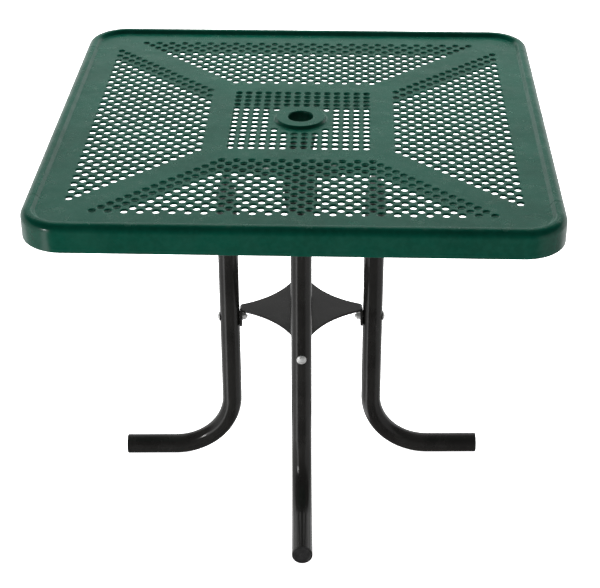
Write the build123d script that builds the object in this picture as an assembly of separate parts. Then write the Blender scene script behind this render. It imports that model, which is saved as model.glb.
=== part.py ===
from build123d import *
import math
import os

# Square picnic table with a perforated, coated steel top on four bent-tube legs.
# Millimetres. Origin on the ground under the centre of the top, +Z up, -Y is the front.

# ---------------------------------------------------------------- top
TOP_WIDTH = 914.4            # outside of the rim
TOP_HEIGHT = 774.7           # ground to the rim's crest
RIM_WIDTH = 25.4
RIM_DEPTH = 50.8
RIM_CREST = 8.0              # crest above the perforated field
RIM_WALL = 2.5
RIM_SHOULDER_R = 14.0
RIM_CREST_R = 5.0
RIM_FOOT_R = 3.0
CREST_OFFSET = 7.0           # field edge to where the inner slope reaches the crest's height
CORNER_R = 50.8              # inside the rim, in plan
CORNER_GAP = 0.8             # extra radius on the sheet's corners, so that they clear the rim
SEAM_Y = 340.0               # butt joints in the rim, on the left and right sides
FIELD_Z = TOP_HEIGHT - RIM_CREST
HALF_FIELD = TOP_WIDTH / 2 - RIM_WIDTH
SHEET_T = 3.4

# ---------------------------------------------------------------- perforations
HOLE_R = 6.0
PITCH = 19.05                # square pitch of the middle grid
STAGGER = PITCH * math.sqrt(2)   # pitch along a row of the side panels, turned 45 degrees
GRID_COUNT = 14
GRID_CLEAR_R = 60.0          # no holes nearer the centre than this, for the collar
PANEL_ROWS = 16
PANEL_FIRST_COUNT = 26       # holes in a panel's outermost row; each row inwards has one fewer
PANEL_OUTER_Y = 383.0        # outermost row from the centre

# ---------------------------------------------------------------- umbrella collar
COLLAR_R = 50.8
COLLAR_TOP_R = 45.0
COLLAR_BORE_R = 23.5
COLLAR_SLEEVE_R = 27.0
COLLAR_GAP = 0.3             # between the collar's flange and the hole in the sheet
COLLAR_HEIGHT = 6.5
COLLAR_EDGE = 1.2

# ---------------------------------------------------------------- channels under the top
CHANNEL_DEPTH = 31.8
CHANNEL_T = 3.0
RING_INNER = 133.35          # web's inner face, from the centre
RING_WIDTH = 31.75
DIAGONAL_WIDTH = 25.4
END_GAP = 0.4

# ---------------------------------------------------------------- legs
TUBE_R = 20.0
TUBE_WALL = 2.1
LEG_AXIS = 144.2             # upright part of a leg, from the centre
LEG_TURN = 2.15              # degrees by which the leg frame sits turned under the top
CRUSH_LOW_Z = 612.0          # the round tube ends here
CRUSH_HIGH_Z = 668.0         # and is pressed flat from here up
CRUSH_WIDTH = 61.6
CRUSH_T = 4.6
CRUSH_SLIT = 0.4             # what is left of the bore where the walls meet
LEG_BEND_R = 122.0           # centre line
FOOT_END = 368.0             # end of the foot, cap included
CAP_T = 2.5
CAP_PLUG_LENGTH = 14.0
CAP_CHAMFER = 1.0
PLUG_GAP = 0.3

# ---------------------------------------------------------------- leg mounting plates
PLATE_T = 5.0
PLATE_WIDTH = 30.0
PLATE_LENGTH = 150.0
PLATE_CORNER_R = 6.0
MOUNT_BOLT_REACH = 151.5     # from the centre
MOUNT_BOLT_OFFSET = 60.0     # each side of the leg

# ---------------------------------------------------------------- brace plate
BRACE_TOP_Z = 356.0
BRACE_T = 4.8
BRACE_REACH = 124.0          # outer face of the turned-down tabs
BRACE_BEND_R = 7.0           # outside of the bend
BRACE_TAB_HALF = 14.0
BRACE_WAIST = 54.5           # x and y of each edge arc's nearest point to the centre
BRACE_TAB_BOTTOM_Z = 316.0
BRACE_TAB_CORNER_R = 7.0
BRACE_BOLT_Z = 335.0
POLE_HOLE_R = 20.6

# ---------------------------------------------------------------- M8 fasteners
BOLT_R = 4.0
BOLT_CLEARANCE = 0.35
BOLT_TAIL = 3.0              # past the nut
DOME_HEAD_R = 9.5
DOME_HEAD_H = 5.0
HEX_FLATS = 13.0
HEX_HEAD_H = 5.3
NUT_H = 6.5
WASHER_R = 8.0
WASHER_T = 1.6

SHEET_BOTTOM_Z = FIELD_Z - SHEET_T
CHANNEL_BOTTOM_Z = SHEET_BOTTOM_Z - CHANNEL_DEPTH
LEG_TOP_Z = CHANNEL_BOTTOM_Z - PLATE_T
RING_OUTER = RING_INNER + RING_WIDTH
SIDES = {"right": 0, "back": 90, "left": 180, "front": 270}
DIAGONALS = {"back_right": 45, "back_left": 135, "front_left": 225, "front_right": 315}


def turned(shape, degrees):
    """The shape turned about the table's vertical axis."""
    return Rot(0, 0, degrees) * shape


def leg_turned(shape, degrees):
    """A shape of the leg frame at one side of the table."""
    return turned(shape, degrees + LEG_TURN)


def save(name, shape):
    os.makedirs("parts", exist_ok=True)
    export_step(shape, f"parts/{name}.step")


# ---------------------------------------------------------------- perforated sheet
def grid_holes():
    """Centres of the middle grid, without those that the collar covers."""
    middle = (GRID_COUNT - 1) / 2
    spots = []
    for column in range(GRID_COUNT):
        for row in range(GRID_COUNT):
            x = (column - middle) * PITCH
            y = (row - middle) * PITCH
            if math.hypot(x, y) > GRID_CLEAR_R:
                spots.append((x, y))
    return spots


def panel_holes():
    """Centres of the four trapezoid panels; each row inwards is one hole shorter."""
    spots = []
    for row in range(PANEL_ROWS):
        reach = PANEL_OUTER_Y - row * STAGGER / 2
        count = PANEL_FIRST_COUNT - row
        for index in range(count):
            along = (index - (count - 1) / 2) * STAGGER
            spots += [(along, reach), (-along, -reach), (-reach, along), (reach, -along)]
    return spots


def circle_wire(x, y, radius):
    return Wire([Edge.make_circle(radius, Plane(origin=(x, y, SHEET_BOTTOM_Z)))])


def top_sheet():
    outline = RectangleRounded(2 * HALF_FIELD, 2 * HALF_FIELD, CORNER_R + CORNER_GAP)
    outer = (Pos(0, 0, SHEET_BOTTOM_Z) * outline).face().outer_wire()
    holes = [circle_wire(x, y, HOLE_R) for x, y in grid_holes() + panel_holes()]
    holes.append(circle_wire(0, 0, COLLAR_R + COLLAR_GAP))
    return extrude(Face(outer, holes), SHEET_T, dir=(0, 0, 1))


# ---------------------------------------------------------------- rim
def rim_section(plane):
    """Hollow rim section: x runs outwards from the field's edge, y is up from the field."""
    bottom = RIM_CREST - RIM_DEPTH
    with BuildSketch(plane) as sketch:
        with BuildLine():
            Polyline(
                (0, bottom), (RIM_WIDTH, bottom), (RIM_WIDTH, RIM_CREST),
                (CREST_OFFSET, RIM_CREST), (0, 0), close=True,
            )
        make_face()
        corners = sketch.vertices()
        low = [v for v in corners if abs(plane.to_local_coords(v).Y - bottom) < 0.01]
        high = [v for v in corners if abs(plane.to_local_coords(v).Y - RIM_CREST) < 0.01]
        high.sort(key=lambda v: plane.to_local_coords(v).X)
        fillet(low, RIM_FOOT_R)
        fillet(high[0], RIM_CREST_R)
        fillet(high[1], RIM_SHOULDER_R)
        offset(amount=-RIM_WALL, mode=Mode.SUBTRACT)
    return sketch.sketch


def rim_end_plane():
    """Plane of the left joint: x outwards (-X), y up, normal +Y."""
    return Plane(origin=(-HALF_FIELD, -SEAM_Y, FIELD_Z), x_dir=(-1, 0, 0), z_dir=(0, 1, 0))


def rim_with_corners():
    """Front rim piece: from the left joint round both front corners to the right joint."""
    path = FilletPolyline(
        (-HALF_FIELD, -SEAM_Y, FIELD_Z), (-HALF_FIELD, -HALF_FIELD, FIELD_Z),
        (HALF_FIELD, -HALF_FIELD, FIELD_Z), (HALF_FIELD, -SEAM_Y, FIELD_Z), radius=CORNER_R,
    )
    return sweep(rim_section(rim_end_plane()), path=path)


def rim_side():
    """Left rim piece, straight between its joints."""
    return extrude(rim_section(rim_end_plane()), 2 * SEAM_Y, dir=(0, 1, 0))


# ---------------------------------------------------------------- umbrella collar
def umbrella_collar():
    """Ring with a flange that fills the sheet's hole, and a sleeve below it."""
    top = COLLAR_HEIGHT
    sleeve_end = -SHEET_T - CHANNEL_DEPTH
    profile = Polyline(
        (COLLAR_BORE_R, sleeve_end), (COLLAR_SLEEVE_R, sleeve_end), (COLLAR_SLEEVE_R, -SHEET_T),
        (COLLAR_R, -SHEET_T), (COLLAR_R, COLLAR_EDGE),
        (COLLAR_TOP_R, top), (COLLAR_BORE_R, top), close=True,
    )
    face = make_face(Plane.XZ * profile)
    ring = Pos(0, 0, FIELD_Z) * revolve(face, Axis.Z)
    crown = [e for e in ring.edges() if abs(e.center().Z - FIELD_Z - top) < 0.01
             and e.geom_type == GeomType.CIRCLE]
    return fillet(crown, 2.0)


# ---------------------------------------------------------------- channels
def ring_channel():
    """Right ring channel: web towards the centre, flanges outwards, mitred ends."""
    inner, outer = RING_INNER, RING_OUTER
    middle = (inner + outer) / 2
    height = (CHANNEL_BOTTOM_Z + SHEET_BOTTOM_Z) / 2
    block = Pos(middle, 0, height) * Box(RING_WIDTH, 2 * outer, CHANNEL_DEPTH)
    hollow = Pos(middle + CHANNEL_T, 0, height) * Box(
        RING_WIDTH, 2 * outer + 2, CHANNEL_DEPTH - 2 * CHANNEL_T)
    mitre = make_face(Polyline((inner, -inner), (outer, -outer), (outer, outer), (inner, inner), close=True))
    wedge = Pos(0, 0, CHANNEL_BOTTOM_Z) * extrude(mitre, CHANNEL_DEPTH, dir=(0, 0, 1))
    channel = (block - hollow) & wedge
    for side in (-MOUNT_BOLT_OFFSET, MOUNT_BOLT_OFFSET):
        drill = Pos(MOUNT_BOLT_REACH, side, CHANNEL_BOTTOM_Z) * Cylinder(
            BOLT_R + BOLT_CLEARANCE, 4 * CHANNEL_T)
        channel -= leg_turned(drill, 0)
    return channel


def diagonal_channel():
    """Channel along one diagonal, open downwards, from the ring's corner to the rim's corner."""
    length = 2 * HALF_FIELD
    height = (CHANNEL_BOTTOM_Z + SHEET_BOTTOM_Z) / 2
    block = Pos(length / 2, 0, height) * Box(length, DIAGONAL_WIDTH, CHANNEL_DEPTH)
    hollow = Pos(length / 2, 0, height - CHANNEL_T) * Box(
        length + 2, DIAGONAL_WIDTH - 2 * CHANNEL_T, CHANNEL_DEPTH)
    bar = turned(block - hollow, 45)
    reach = 2 * (HALF_FIELD - END_GAP)
    inside = Pos(0, 0, CHANNEL_BOTTOM_Z) * extrude(
        RectangleRounded(reach, reach, CORNER_R), CHANNEL_DEPTH, dir=(0, 0, 1))
    ring_side = 2 * RING_OUTER
    ring = Pos(0, 0, height) * Box(ring_side, ring_side, CHANNEL_DEPTH + 2)
    return turned((bar & inside) - ring, -45)


# ---------------------------------------------------------------- legs
def bolt_passage(length):
    """Clearance cylinder along X for a brace bolt, centred on the leg's axis."""
    return Pos(LEG_AXIS, 0, BRACE_BOLT_Z) * Rot(0, 90, 0) * Cylinder(BOLT_R + BOLT_CLEARANCE, length)


def quartered_circle(z, radius):
    """Closed circle in four arcs, which meet the four edges of pressed_outline."""
    reach = radius * math.sqrt(0.5)
    middle = Location((LEG_AXIS, 0, z))
    first = ThreePointArc((reach, reach), (0, radius), (-reach, reach))
    return Wire([middle * Rot(0, 0, 90 * quarter) * first.edge() for quarter in range(4)])


def pressed_outline(z, width, thickness):
    """Closed outline of the tube pressed flat, with round ends; its width is along Y."""
    x, y = thickness / 2, width / 2 - thickness / 2
    edges = [
        ThreePointArc((x, y), (0, width / 2), (-x, y)),
        Line((-x, y), (-x, -y)),
        ThreePointArc((-x, -y), (0, -width / 2), (x, -y)),
        Line((x, -y), (x, y)),
    ]
    return Wire([Location((LEG_AXIS, 0, z)) * line.edge() for line in edges])


def crush(radius, width, thickness):
    """Solid that runs from the round tube's end to its pressed part."""
    low = Face(quartered_circle(CRUSH_LOW_Z, radius))
    high = Face(pressed_outline(CRUSH_HIGH_Z, width, thickness))
    return loft([low, high])


def leg():
    """Right leg: pressed top end, upright tube, one bend, and a foot along the ground."""
    path = FilletPolyline(
        (LEG_AXIS, 0, CRUSH_LOW_Z), (LEG_AXIS, 0, TUBE_R), (FOOT_END - CAP_T, 0, TUBE_R),
        radius=LEG_BEND_R,
    )
    bore_r = TUBE_R - TUBE_WALL
    ring = Circle(TUBE_R) - Circle(bore_r)
    tube = sweep(Pos(LEG_AXIS, 0, CRUSH_LOW_Z) * ring, path=path)
    slit_width = CRUSH_WIDTH - CRUSH_T + CRUSH_SLIT
    flare = crush(TUBE_R, CRUSH_WIDTH, CRUSH_T) - crush(bore_r, slit_width, CRUSH_SLIT)
    flat = extrude(Face(pressed_outline(CRUSH_HIGH_Z, CRUSH_WIDTH, CRUSH_T)),
                   LEG_TOP_Z - CRUSH_HIGH_Z, dir=(0, 0, 1))
    return tube + flare + flat - bolt_passage(4 * TUBE_R)


def foot_cap():
    """Plug with a flush round head that closes the foot's end."""
    head = Rot(0, 90, 0) * Cylinder(TUBE_R, CAP_T)
    outer_edge = head.edges().filter_by(GeomType.CIRCLE).sort_by(Axis.X)[-1]
    head = Pos(FOOT_END - CAP_T / 2, 0, TUBE_R) * chamfer(outer_edge, CAP_CHAMFER)
    plug_r = TUBE_R - TUBE_WALL - PLUG_GAP
    plug = Pos(FOOT_END - CAP_T - CAP_PLUG_LENGTH / 2, 0, TUBE_R) * (
        Rot(0, 90, 0) * Cylinder(plug_r, CAP_PLUG_LENGTH))
    return head + plug


def leg_plate():
    """Flat plate across the leg's pressed end, bolted up to the ring channel."""
    centre = RING_OUTER - PLATE_WIDTH / 2
    blank = Pos(centre, 0, LEG_TOP_Z) * RectangleRounded(PLATE_WIDTH, PLATE_LENGTH, PLATE_CORNER_R)
    plate = extrude(blank, PLATE_T, dir=(0, 0, 1))
    for side in (-MOUNT_BOLT_OFFSET, MOUNT_BOLT_OFFSET):
        plate -= Pos(MOUNT_BOLT_REACH, side, LEG_TOP_Z) * Cylinder(
            BOLT_R + BOLT_CLEARANCE, 4 * PLATE_T)
    return plate


# ---------------------------------------------------------------- brace plate
def brace_star():
    """Flat four-pointed plate with hollow arcs between its points and a pole hole."""
    tip = BRACE_REACH - BRACE_BEND_R
    lines = []
    for quarter in range(4):
        arc = ThreePointArc((tip, BRACE_TAB_HALF), (BRACE_WAIST, BRACE_WAIST), (BRACE_TAB_HALF, tip))
        end = Line((BRACE_TAB_HALF, tip), (-BRACE_TAB_HALF, tip))
        lines += [Rot(0, 0, 90 * quarter) * arc, Rot(0, 0, 90 * quarter) * end]
    star = make_face(lines) - Circle(POLE_HOLE_R)
    return extrude(Pos(0, 0, BRACE_TOP_Z - BRACE_T) * star, BRACE_T, dir=(0, 0, 1))


def brace_tab():
    """Quarter bend and turned-down tab at the plate's right-hand point."""
    tip = BRACE_REACH - BRACE_BEND_R
    bend_z = BRACE_TOP_Z - BRACE_BEND_R
    inner_r = BRACE_BEND_R - BRACE_T
    width = 2 * BRACE_TAB_HALF
    ring = Circle(BRACE_BEND_R) - Circle(inner_r)
    quarter = ring & (Pos(BRACE_BEND_R / 2, BRACE_BEND_R / 2) * Rectangle(BRACE_BEND_R, BRACE_BEND_R))
    placed = Plane(origin=(tip, width / 2, bend_z), x_dir=(1, 0, 0), z_dir=(0, -1, 0)) * quarter
    bend = extrude(placed, width, dir=(0, -1, 0))
    drop = bend_z - BRACE_TAB_BOTTOM_Z
    tab = Pos(BRACE_REACH - BRACE_T / 2, 0, BRACE_TAB_BOTTOM_Z + drop / 2) * Box(BRACE_T, width, drop)
    lower = tab.edges().filter_by(Axis.X).group_by(Axis.Z)[0]
    return bend + fillet(lower, BRACE_TAB_CORNER_R)


def brace_plate():
    plate = brace_star()
    for degrees in SIDES.values():
        plate += turned(brace_tab(), degrees)
        plate -= turned(bolt_passage(4 * TUBE_R), degrees)
    return leg_turned(plate, 0)


# ---------------------------------------------------------------- fasteners
def hexagon(height):
    return extrude(RegularPolygon(HEX_FLATS / 2, 6, major_radius=False), height, dir=(0, 0, 1))


def nut():
    """Nut standing on z = 0."""
    return hexagon(NUT_H) - Cylinder(BOLT_R + BOLT_CLEARANCE / 2, 4 * NUT_H)


def washer():
    """Washer standing on z = 0."""
    ring = Circle(WASHER_R) - Circle(BOLT_R + BOLT_CLEARANCE)
    return extrude(ring, WASHER_T, dir=(0, 0, 1))


def shank(length):
    """Plain shank from z = 0 upwards."""
    return extrude(Circle(BOLT_R), length, dir=(0, 0, 1))


def dome_bolt(length):
    """Dome-headed bolt: the shank runs up from z = 0, and the head is below it."""
    crown_r = (DOME_HEAD_R ** 2 + DOME_HEAD_H ** 2) / (2 * DOME_HEAD_H)
    ball = Pos(0, 0, crown_r - DOME_HEAD_H) * Sphere(crown_r)
    slab = Pos(0, 0, -DOME_HEAD_H / 2) * Box(4 * crown_r, 4 * crown_r, DOME_HEAD_H)
    return (ball & slab) + shank(length)


def hex_bolt(length):
    """Hexagon-headed bolt: the shank runs up from z = 0, and the head is below it."""
    return Pos(0, 0, -HEX_HEAD_H) * hexagon(HEX_HEAD_H) + shank(length)


def inward_from(reach):
    """Frame at the given distance along +X at bolt height, with +Z pointing at the table's axis."""
    return Location(Plane(origin=(reach, 0, BRACE_BOLT_Z), x_dir=(0, 1, 0), z_dir=(-1, 0, 0)))


def brace_fasteners():
    """Bolts through leg and tab, and the washers and nuts inside the tabs, for all four legs."""
    head_face = LEG_AXIS + TUBE_R
    tab_inner = BRACE_REACH - BRACE_T
    length = head_face - tab_inner + WASHER_T + NUT_H + BOLT_TAIL
    pieces = {
        "brace_bolts": inward_from(head_face) * dome_bolt(length),
        "brace_washers": inward_from(tab_inner) * washer(),
        "brace_nuts": inward_from(tab_inner - WASHER_T) * nut(),
    }
    return {name: [leg_turned(piece, d) for d in SIDES.values()] for name, piece in pieces.items()}


def mount_fasteners():
    """Bolts up through the leg plates, and washers and nuts inside the ring channels."""
    flange_top = CHANNEL_BOTTOM_Z + CHANNEL_T
    length = PLATE_T + CHANNEL_T + WASHER_T + NUT_H + BOLT_TAIL
    stack = {
        "mount_bolts": (LEG_TOP_Z, hex_bolt(length)),
        "mount_washers": (flange_top, washer()),
        "mount_nuts": (flange_top + WASHER_T, nut()),
    }
    groups = {}
    for name, (z, piece) in stack.items():
        groups[name] = [
            leg_turned(Pos(MOUNT_BOLT_REACH, side, z) * piece, degrees)
            for degrees in SIDES.values()
            for side in (-MOUNT_BOLT_OFFSET, MOUNT_BOLT_OFFSET)
        ]
    return groups


# ---------------------------------------------------------------- write the pieces
def main():
    save("top_sheet", top_sheet())
    save("umbrella_collar", umbrella_collar())
    corners = rim_with_corners()
    side = rim_side()
    save("rim_front", corners)
    save("rim_back", turned(corners, 180))
    save("rim_left", side)
    save("rim_right", turned(side, 180))
    for name, degrees in SIDES.items():
        save(f"ring_channel_{name}", turned(ring_channel(), degrees))
        save(f"leg_{name}", leg_turned(leg(), degrees))
        save(f"leg_plate_{name}", leg_turned(leg_plate(), degrees))
        save(f"foot_cap_{name}", leg_turned(foot_cap(), degrees))
    for name, degrees in DIAGONALS.items():
        save(f"diagonal_channel_{name}", turned(diagonal_channel(), degrees))
    save("brace_plate", brace_plate())
    for groups in (brace_fasteners(), mount_fasteners()):
        for name, solids in groups.items():
            save(name, Compound(children=solids))


main()
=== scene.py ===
import math

import bpy
import numpy as np
from mathutils import Matrix, Vector
from mathutils.geometry import delaunay_2d_cdt


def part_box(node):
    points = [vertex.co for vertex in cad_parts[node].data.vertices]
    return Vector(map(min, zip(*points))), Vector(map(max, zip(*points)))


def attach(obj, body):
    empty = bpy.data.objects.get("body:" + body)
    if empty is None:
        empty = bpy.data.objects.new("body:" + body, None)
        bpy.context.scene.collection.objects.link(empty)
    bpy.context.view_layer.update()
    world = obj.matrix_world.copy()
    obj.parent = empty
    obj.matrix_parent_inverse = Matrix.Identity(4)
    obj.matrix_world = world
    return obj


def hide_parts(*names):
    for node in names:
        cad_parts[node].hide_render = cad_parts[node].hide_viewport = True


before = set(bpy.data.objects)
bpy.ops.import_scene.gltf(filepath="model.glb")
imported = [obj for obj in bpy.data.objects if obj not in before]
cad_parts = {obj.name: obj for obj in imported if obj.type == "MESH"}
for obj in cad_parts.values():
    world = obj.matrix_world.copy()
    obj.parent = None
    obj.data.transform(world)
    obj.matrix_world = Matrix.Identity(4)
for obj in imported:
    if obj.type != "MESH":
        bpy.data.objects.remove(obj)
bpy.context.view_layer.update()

MM = 0.001
UP = (0.0, 0.0, 1.0)
SIDES = {"right": 0, "back": 90, "left": 180, "front": 270}
DIAGONALS = {"back_right": 45, "back_left": 135, "front_left": 225, "front_right": 315}

# ---------------------------------------------------------------- sizes read from the CAD frame
SHEET_LOW, SHEET_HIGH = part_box("top_sheet")
RIM_LOW, RIM_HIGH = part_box("rim_front")
SEAM_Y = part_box("rim_right")[1].y
COLLAR_LOW, COLLAR_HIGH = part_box("umbrella_collar")
RING_LOW, RING_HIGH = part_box("ring_channel_right")
LEG_TOP_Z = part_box("leg_right")[1].z
PLATE_LOW, PLATE_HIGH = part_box("leg_plate_right")
BRACE_LOW, BRACE_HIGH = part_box("brace_plate")
BRACE_NUT_LOW, BRACE_NUT_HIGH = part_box("brace_nuts")
MOUNT_BOLT_LOW, MOUNT_BOLT_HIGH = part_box("mount_bolts")
MOUNT_WASHER_LOW, MOUNT_WASHER_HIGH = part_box("mount_washers")
MOUNT_NUT_LOW, MOUNT_NUT_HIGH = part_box("mount_nuts")

FIELD_Z = SHEET_HIGH.z
COATING_SAG = 0.8 * MM           # how far the coating hangs below the CAD sheet
SHEET_T = SHEET_HIGH.z - SHEET_LOW.z + COATING_SAG
HALF_FIELD = SHEET_HIGH.x
RIM_WIDTH = RIM_HIGH.x - HALF_FIELD
RIM_CREST = RIM_HIGH.z - FIELD_Z
RIM_BOTTOM = RIM_LOW.z - FIELD_Z
BRACE_BOLT_Z = (BRACE_NUT_LOW.z + BRACE_NUT_HIGH.z) / 2

# ---------------------------------------------------------------- sizes of details
CORNER_R = 50.8 * MM             # rim's inside corner in plan
PITCH = 19.05 * MM
STAGGER = PITCH * math.sqrt(2)
GRID_COUNT = 14
GRID_CLEAR_R = 60.0 * MM
PANEL_ROWS = 16
PANEL_FIRST_COUNT = 26
PANEL_OUTER_Y = 383.0 * MM
HOLE_R = 5.85 * MM
HOLE_SEGMENTS = 14
TOP_LIP = (3.3 * MM, 2.2 * MM)   # width and depth of the coating's rounding into each hole, above
LOW_LIP = (0.9 * MM, 0.9 * MM)   # and below
SLEEVE_R = 27.3 * MM
COLLAR_BORE_R = 23.5 * MM
CHANNEL_T = 3.0 * MM
TUBE_R = 20.0 * MM
LEG_AXIS = 144.2 * MM
LEG_TURN = 2.15                  # degrees by which the leg frame sits turned under the top
CRUSH_LOW_Z = 612.0 * MM         # the tube is round below this
CRUSH_HIGH_Z = 668.0 * MM        # and pressed flat above this
CRUSH_WIDTH = 61.6 * MM
CRUSH_T = 4.6 * MM
LEG_BEND_R = 122.0 * MM
FOOT_TUBE_END = 365.5 * MM
CAP_T = 2.5 * MM
PLATE_WIDTH = 30.0 * MM
PLATE_LENGTH = 150.0 * MM
PLATE_REACH = 150.1 * MM         # middle of a leg plate, from the table's axis
MOUNT_BOLT_REACH = 151.5 * MM
MOUNT_BOLT_OFFSET = 60.0 * MM
BRACE_REACH = 124.0 * MM         # outer faces of the brace's tabs
BRACE_T = 4.8 * MM
BRACE_BEND_R = 7.0 * MM
BRACE_TAB_HALF = 14.0 * MM
BRACE_TAB_CORNER_R = 7.0 * MM
BRACE_WAIST = 54.5 * MM
POLE_HOLE_R = 20.6 * MM
BOLT_R = 4.0 * MM
THREAD_PITCH = 1.25 * MM
THREAD_DEPTH = 0.6 * MM
BOLT_TAIL = 3.0 * MM             # past the nut
DOME_HEAD_R = 9.5 * MM
DOME_HEAD_H = 5.0 * MM
HEX_FLATS = 13.0 * MM
NUT_H = 6.5 * MM
WASHER_R = 8.0 * MM
WASHER_T = 1.6 * MM


# ---------------------------------------------------------------- mesh building
class Shape:
    """A mesh in the making: points, faces, and a normal for every face corner."""

    def __init__(self):
        self.points = np.zeros((0, 3))
        self.faces = []
        self.normals = []

    def add_points(self, points):
        start = len(self.points)
        self.points = np.vstack([self.points, np.asarray(points, float).reshape(-1, 3)])
        return start

    def add_faces(self, indices, normals):
        """Adds faces of one size, each turned so that it faces along its corner normals."""
        indices = np.asarray(indices)
        normals = np.asarray(normals, float)
        corners = self.points[indices]
        facing = np.cross(corners, np.roll(corners, -1, axis=1)).sum(1)
        backwards = (facing * normals.sum(1)).sum(1) < 0
        indices[backwards] = indices[backwards][:, ::-1]
        normals[backwards] = normals[backwards][:, ::-1]
        self.faces += indices.tolist()
        self.normals += normals.reshape(-1, 3).tolist()

    def grid(self, points, normals, wrap_rows=False, wrap_columns=True):
        """Adds a grid of quads over points[row, column], and returns the points' indices."""
        points = np.asarray(points, float)
        rows, columns = points.shape[:2]
        index = self.add_points(points) + np.arange(rows * columns).reshape(rows, columns)
        r = np.arange(rows if wrap_rows else rows - 1)
        c = np.arange(columns if wrap_columns else columns - 1)
        r, c = np.meshgrid(r, c, indexing="ij")
        r2, c2 = (r + 1) % rows, (c + 1) % columns
        at = [(r, c), (r, c2), (r2, c2), (r2, c)]
        quads = np.stack([index[a] for a in at], -1).reshape(-1, 4)
        facing = np.stack([np.asarray(normals, float)[a] for a in at], -2).reshape(-1, 4, 3)
        self.add_faces(quads, facing)
        return index

    def cap(self, loop, normal):
        """Closes a loop of points with one flat face."""
        self.add_faces([list(loop)], [[normal] * len(loop)])

    def moved(self, matrix):
        """A copy under a rigid transform."""
        turn = np.array(matrix.to_3x3())
        copy = Shape()
        copy.points = self.points @ turn.T + np.array(matrix.translation)
        copy.faces = list(self.faces)
        copy.normals = (np.array(self.normals) @ turn.T).tolist()
        return copy

    def join(self, other):
        """Takes in another shape's points, faces and normals."""
        start = self.add_points(other.points)
        self.faces += [[i + start for i in face] for face in other.faces]
        self.normals += other.normals
        return self


def turned(shape, degrees):
    """A copy of the shape turned about the table's vertical axis."""
    return shape.moved(Matrix.Rotation(math.radians(degrees), 4, "Z"))


def joined(shapes):
    """One shape made of several."""
    whole = Shape()
    for shape in shapes:
        whole.join(shape)
    return whole


def make_piece(name, shape, material, slot, *nodes):
    """A Blender object that stands for CAD nodes and rides on the table's one body."""
    mesh = bpy.data.meshes.new(name)
    mesh.from_pydata(shape.points.tolist(), [], shape.faces)
    mesh.shade_smooth()
    mesh.normals_split_custom_set(shape.normals)
    mesh.materials.append(material)
    piece = bpy.data.objects.new(name, mesh)
    bpy.context.scene.collection.objects.link(piece)
    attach(piece, "root")
    if nodes:
        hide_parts(*nodes)
    return piece


# ---------------------------------------------------------------- outlines and sections
def rounded_path(corners, closed=True, steps=6):
    """Points (x, y, normal x, normal y) along a path whose corners (x, y, radius) are arcs.

    The normal is on the right of the direction of travel, so a closed path goes anticlockwise.
    """
    found = []
    count = len(corners)
    for i, (x, y, radius) in enumerate(corners):
        here = Vector((x, y))
        before = here - Vector(corners[i - 1][:2])
        after = Vector(corners[(i + 1) % count][:2]) - here
        if not closed and i in (0, count - 1):
            along = (after if i == 0 else before).normalized()
            found.append((x, y, along.y, -along.x))
            continue
        before.normalize()
        after.normalize()
        turn = math.atan2(before.x * after.y - before.y * after.x, before.dot(after))
        start = here - before * radius * math.tan(abs(turn) / 2)
        side = Vector((-before.y, before.x)) * math.copysign(radius, turn)
        centre = start + side
        for step in range(steps + 1):
            angle = turn * step / steps
            arm = Matrix.Rotation(angle, 2) @ -side
            way = Matrix.Rotation(angle, 2) @ before
            found.append((centre.x + arm.x, centre.y + arm.y, way.y, -way.x))
    return np.array(found)


def circle_outline(x, y, radius, segments, hole=False):
    """Points and normals of a circle; a hole's normals point to its centre."""
    angle = np.arange(segments) * 2 * math.pi / segments
    out = np.stack([np.cos(angle), np.sin(angle)], -1)
    facing = -out if hole else out
    return np.hstack([np.array([x, y]) + radius * out, facing])


def rounded_rectangle(width, length, radius, steps=6):
    """Outline of a rectangle about the origin with rounded corners."""
    x, y = width / 2, length / 2
    corners = [(x, -y, radius), (x, y, radius), (-x, y, radius), (-x, -y, radius)]
    return rounded_path(corners, steps=steps)


# ---------------------------------------------------------------- basic solids
def flat_fill(shape, loops, normal):
    """Fills between an outer loop and holes: loops are (point indices, flat coordinates)."""
    indices = np.concatenate([i for i, _ in loops])
    flat = np.concatenate([c for _, c in loops])
    owner = np.concatenate([np.full(len(i), k) for k, (i, _) in enumerate(loops)])
    edges, start = [], 0
    for ring, _ in loops:
        n = len(ring)
        edges += [(start + i, start + (i + 1) % n) for i in range(n)]
        start += n
    result = delaunay_2d_cdt([Vector(c) for c in flat], edges, [], 0, 1e-9, True)
    origin = np.array([ids[0] for ids in result[3]])
    triangles = origin[np.array(result[2])]
    owners = owner[triangles]
    one_loop = (owners == owners[:, :1]).all(1)
    keep = ~one_loop
    outer = loops[0][1]
    for t in np.nonzero(one_loop & (owners[:, 0] == 0))[0]:
        keep[t] = inside(flat[triangles[t]].mean(0), outer)
    triangles = triangles[keep]
    shape.add_faces(indices[triangles], np.tile(np.array(normal, float), (len(triangles), 3, 1)))
    return triangles


def inside(point, outline):
    """Whether a flat point lies inside an outline."""
    x, y = point
    a, b = outline, np.roll(outline, -1, axis=0)
    crosses = (a[:, 1] > y) != (b[:, 1] > y)
    a, b = a[crosses], b[crosses]
    hits = a[:, 0] + (y - a[:, 1]) * (b[:, 0] - a[:, 0]) / (b[:, 1] - a[:, 1])
    return (hits > x).sum() % 2 == 1


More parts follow.
